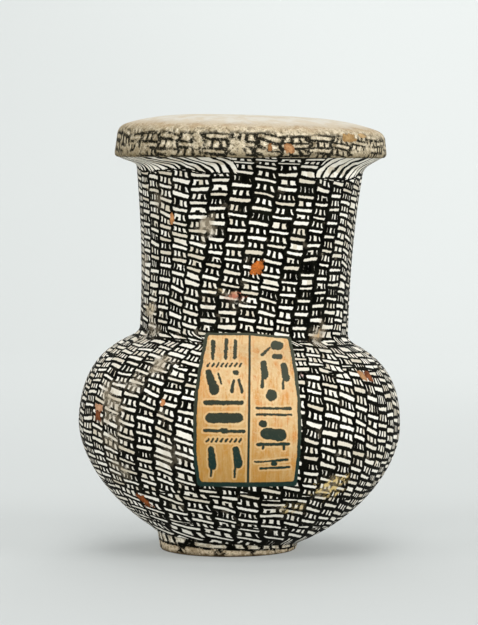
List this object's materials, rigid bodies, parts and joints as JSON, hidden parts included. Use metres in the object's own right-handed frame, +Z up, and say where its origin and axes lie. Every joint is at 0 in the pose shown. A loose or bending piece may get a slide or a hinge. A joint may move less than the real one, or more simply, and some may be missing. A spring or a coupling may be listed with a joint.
{
  "type": "funerary vase",
  "caption": "Small closed dummy vase of painted wood: low foot, round belly, wide neck, thick domed rim, basket-weave strokes and a framed panel.",
  "frame": {"origin": "middle of the foot's flat underside, on the surface that the vase stands on", "axes": "+Z up; the painted panel faces -Y; +X is to the right as the panel is seen"},
  "size_m": [0.1283, 0.1269, 0.1736],
  "materials": {
    "painted_wood": "cream ground with near-black brush strokes, matt, worn at the rim and foot"
  },
  "bodies": {
    "root": {"vase": "painted_wood"}
  },
  "joints": []
}
